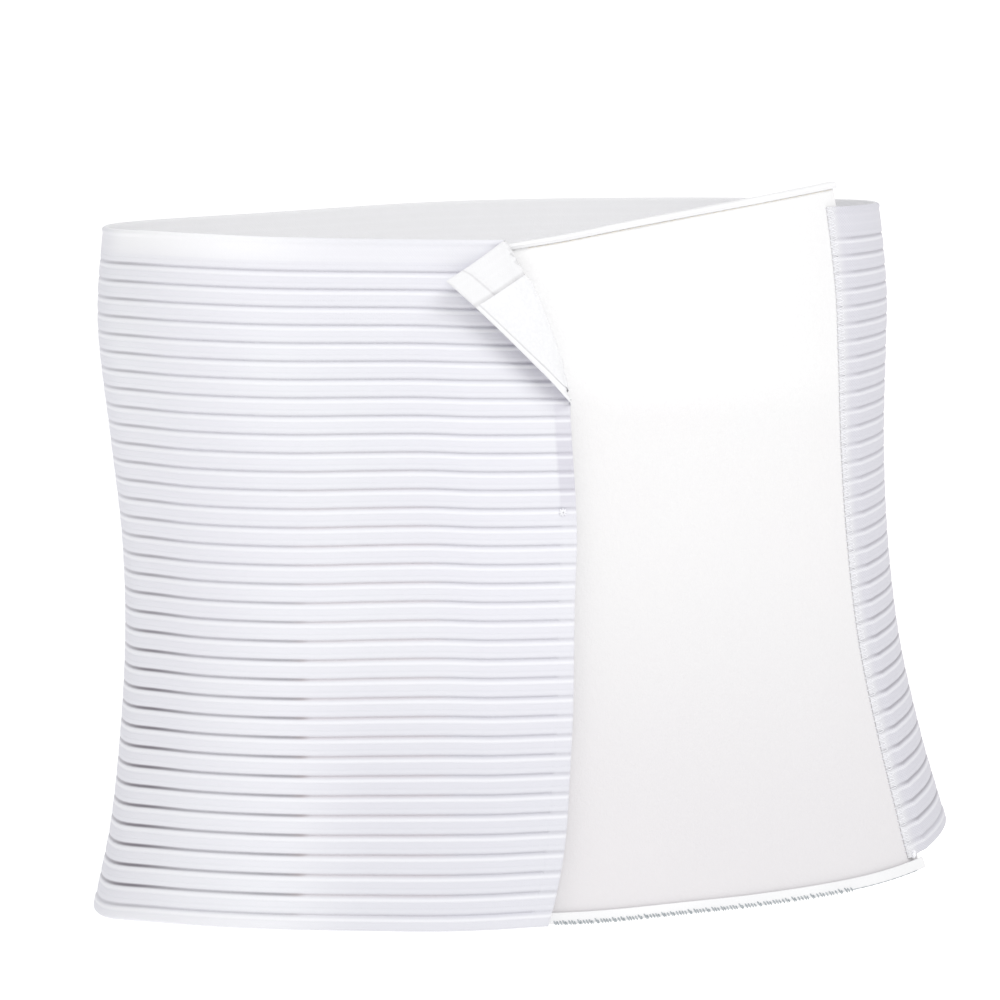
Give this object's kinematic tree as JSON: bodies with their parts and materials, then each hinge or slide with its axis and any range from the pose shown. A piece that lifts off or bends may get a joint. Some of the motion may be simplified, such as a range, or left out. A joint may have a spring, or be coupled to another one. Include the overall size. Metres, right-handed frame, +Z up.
{
  "type": "abdominal binder",
  "caption": "Ribbed elastic band that wraps the waist and closes over a smooth loop panel, shown as worn with its top corner turned down.",
  "frame": {"origin": "middle of the waist hollow, level with the middle of the band", "axes": "+Z up the wearer's body, the wearer's front towards -Y and the wearer's left towards +X"},
  "size_m": [0.3642, 0.2502, 0.3083],
  "materials": {
    "ribbed_elastic": "white woven elastic with flat ribs and narrow dark furrows between them",
    "hook_fabric": "white hook fabric, matte and slightly rough",
    "loop_fabric": "soft white brushed loop fabric",
    "edge_binding": "smooth white binding tape, slightly bright"
  },
  "bodies": {
    "root": {"ribbed_elastic_band": "ribbed_elastic", "hook_strip": "hook_fabric", "closure_panel": "loop_fabric", "panel_top_binding": "edge_binding", "panel_bottom_binding": "edge_binding"}
  },
  "joints": []
}
